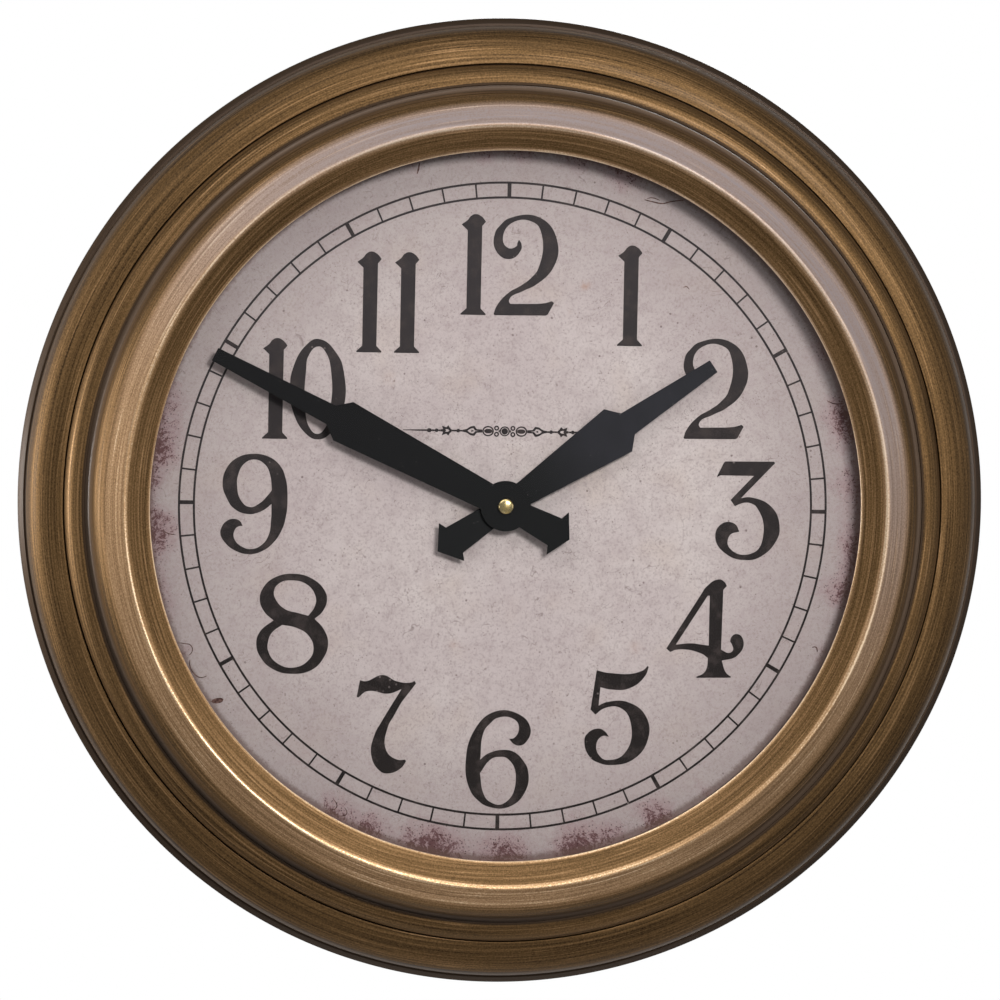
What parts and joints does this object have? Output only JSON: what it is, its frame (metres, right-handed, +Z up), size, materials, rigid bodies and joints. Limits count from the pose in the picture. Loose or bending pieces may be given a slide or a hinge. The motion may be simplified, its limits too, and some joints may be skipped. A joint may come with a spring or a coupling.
{
  "type": "wall clock",
  "caption": "Round wall clock with a stepped antique gold frame, aged paper dial, upright numerals, spade hands behind glass and a battery movement.",
  "frame": {"origin": "on the hand axis, in the plane of the wall that the rear rim rests on", "axes": "+X to the right of the dial, +Y into the wall, +Z up towards twelve"},
  "size_m": [0.4599, 0.0501, 0.46],
  "materials": {
    "frame_gold": "hand-brushed antique gold over dark bronze, worn bright on the edges",
    "lens_glass": "clear flat glass",
    "black_rubber": "matt",
    "black_plastic": "moulded, fine grain",
    "dial_print": "aged printed paper",
    "fibreboard": "bare hardboard",
    "zinc_steel": "zinc plated",
    "yellow_brass": "turned and polished",
    "white_plastic": "moulded",
    "circuit_green": "solder mask",
    "copper_wire": "enamelled copper wire",
    "magnet": "sintered",
    "cell_jacket": "plain printed jacket",
    "hour_hand_paint": "dark grey satin paint",
    "minute_hand_paint": "black satin paint"
  },
  "bodies": {
    "frame": {"case_ring": "frame_gold", "bezel_ring": "frame_gold", "glass_lens": "lens_glass", "lens_gasket": "black_rubber", "rubber_washer": "black_rubber", "spacer_ring": "black_plastic", "movement_front": "black_plastic", "movement_back": "black_plastic", "dial_paper": "dial_print", "dial_board": "fibreboard", "back_board": "fibreboard", "dial_screws": "zinc_steel", "bezel_screws": "zinc_steel", "back_screws": "zinc_steel", "hanger_plate": "zinc_steel", "hanger_screws": "zinc_steel", "quartz_crystal": "zinc_steel", "stator": "zinc_steel", "battery_contact_positive": "zinc_steel", "battery_contact_negative": "zinc_steel", "middle_plate": "yellow_brass", "centre_bush": "yellow_brass", "bush_washer": "yellow_brass", "bush_nut": "yellow_brass", "coil_bobbin": "white_plastic", "circuit_board": "circuit_green", "coil_winding": "copper_wire"},
    "minute_hand": {"minute_hand": "minute_hand_paint", "cannon_pinion": "yellow_brass", "hand_nut": "yellow_brass"},
    "hour_hand": {"hour_hand": "hour_hand_paint", "hour_wheel": "white_plastic"},
    "minute_wheel": {"minute_wheel": "white_plastic"},
    "setting_knob": {"setting_knob": "black_plastic", "setting_shaft": "white_plastic"},
    "second_wheel": {"second_wheel": "white_plastic"},
    "intermediate_wheel": {"intermediate_wheel": "white_plastic"},
    "rotor": {"rotor": "magnet"},
    "third_wheel": {"third_wheel": "white_plastic"},
    "centre_wheel": {"centre_wheel": "yellow_brass"},
    "battery_cell": {"battery_cell": "cell_jacket"}
  },
  "joints": [
    {"name": "minute_hand_turn", "type": "hinge", "parent": "frame", "child": "minute_hand", "pos_m": [0, -0.036, 0], "axis": [0, 1, 0], "continuous": true},
    {"name": "hour_hand_turn", "type": "hinge", "parent": "frame", "child": "hour_hand", "pos_m": [0, -0.034, 0], "axis": [0, 1, 0], "continuous": true},
    {"name": "minute_wheel_turn", "type": "hinge", "parent": "frame", "child": "minute_wheel", "pos_m": [0, -0.02, 0.0075], "axis": [0, 1, 0], "continuous": true},
    {"name": "setting_knob_turn", "type": "hinge", "parent": "frame", "child": "setting_knob", "pos_m": [0, -0.0075, 0.015], "axis": [0, 1, 0], "continuous": true},
    {"name": "second_wheel_turn", "type": "hinge", "parent": "frame", "child": "second_wheel", "pos_m": [0, -0.0135, 0], "axis": [0, 1, 0], "continuous": true},
    {"name": "intermediate_wheel_turn", "type": "hinge", "parent": "frame", "child": "intermediate_wheel", "pos_m": [0.00727, -0.012, 0.0042], "axis": [0, 1, 0], "continuous": true},
    {"name": "rotor_turn", "type": "hinge", "parent": "frame", "child": "rotor", "pos_m": [0.01404, -0.012, 0.00666], "axis": [0, 1, 0], "continuous": true},
    {"name": "third_wheel_turn", "type": "hinge", "parent": "frame", "child": "third_wheel", "pos_m": [-0.01043, -0.015, 0.0028], "axis": [0, 1, 0], "continuous": true},
    {"name": "centre_wheel_turn", "type": "hinge", "parent": "frame", "child": "centre_wheel", "pos_m": [0, -0.019, 0], "axis": [0, 1, 0], "continuous": true},
    {"name": "battery_cell_slide", "type": "slide", "parent": "frame", "child": "battery_cell", "axis": [0, 1, 0], "range_m": [0, 0.03]}
  ],
  "couplings": [
    {"joint": "hour_hand_turn", "follows": "minute_hand_turn", "ratio": 0.083333},
    {"joint": "minute_wheel_turn", "follows": "minute_hand_turn", "ratio": -0.33333},
    {"joint": "setting_knob_turn", "follows": "minute_hand_turn", "ratio": 1},
    {"joint": "intermediate_wheel_turn", "follows": "second_wheel_turn", "ratio": -6},
    {"joint": "rotor_turn", "follows": "second_wheel_turn", "ratio": 30},
    {"joint": "third_wheel_turn", "follows": "second_wheel_turn", "ratio": -0.125},
    {"joint": "centre_wheel_turn", "follows": "second_wheel_turn", "ratio": 0.016667}
  ]
}
